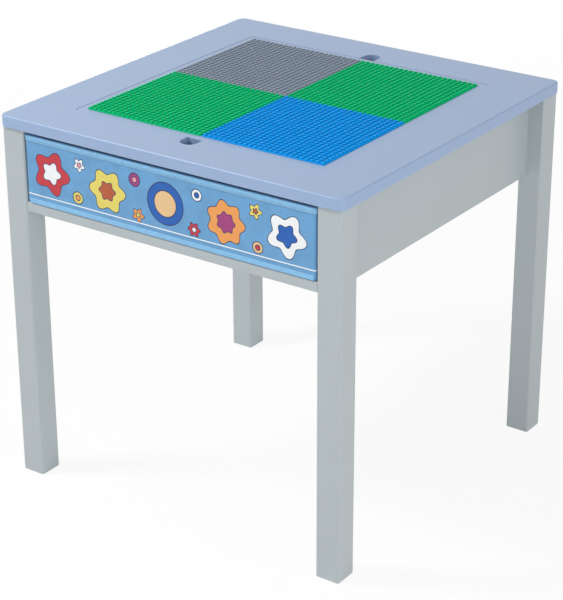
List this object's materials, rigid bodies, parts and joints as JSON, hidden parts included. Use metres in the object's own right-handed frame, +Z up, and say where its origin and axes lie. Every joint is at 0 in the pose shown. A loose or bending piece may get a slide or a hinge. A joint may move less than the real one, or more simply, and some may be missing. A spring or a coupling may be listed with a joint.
{
  "type": "kids table",
  "caption": "Square children's play table with a lift-out building panel in a framed top, square legs, set-back aprons and a fabric toy bin that slides on a shelf.",
  "frame": {"origin": "on the floor, at the middle of the square top", "axes": "+X to the right as seen from the front, +Y to the back, +Z up; the toy bin opens towards -Y"},
  "size_m": [0.551, 0.551, 0.5427],
  "materials": {
    "top_paint": "satin pale blue paint on fibreboard",
    "frame_paint": "satin pale grey paint on wood",
    "green_plate": "moulded, glossy",
    "blue_plate": "moulded, glossy",
    "grey_plate": "moulded, glossy",
    "cover_cloth": "printed woven cloth",
    "trim_cloth": "folded binding tape",
    "lining_cloth": "plain non-woven cloth",
    "stiff_board": "raw hardboard",
    "dowel_wood": "raw beech",
    "fitting_metal": "zinc plated"
  },
  "bodies": {
    "table": {"top_frame": "top_paint", "leg_front_left": "frame_paint", "leg_front_right": "frame_paint", "leg_back_left": "frame_paint", "leg_back_right": "frame_paint", "apron_left": "frame_paint", "apron_right": "frame_paint", "apron_back": "frame_paint", "storage_shelf": "frame_paint", "apron_dowels": "dowel_wood", "shelf_dowels": "dowel_wood", "leg_dowels": "dowel_wood", "back_apron_cam_bolts": "fitting_metal", "back_apron_cams": "fitting_metal", "shelf_cam_bolts": "fitting_metal", "shelf_cams": "fitting_metal", "top_cam_bolts": "fitting_metal", "top_cams": "fitting_metal"},
    "toy_bin": {"bin_cover": "cover_cloth", "bin_lining": "lining_cloth", "bin_base_board": "stiff_board", "bin_front_board": "stiff_board", "bin_back_board": "stiff_board", "bin_left_board": "stiff_board", "bin_right_board": "stiff_board", "bin_top_binding": "trim_cloth", "bin_front_trim": "trim_cloth"},
    "lift_panel": {"play_panel": "top_paint", "stud_plate_front_left": "green_plate", "stud_plate_front_right": "blue_plate", "stud_plate_back_left": "grey_plate", "stud_plate_back_right": "green_plate"}
  },
  "joints": [
    {"name": "bin_slide", "type": "slide", "parent": "table", "child": "toy_bin", "axis": [0, -1, 0], "range_m": [0, 0.38]},
    {"name": "panel_lift", "type": "slide", "parent": "table", "child": "lift_panel", "axis": [0, 0, 1], "range_m": [0, 0.15]}
  ]
}
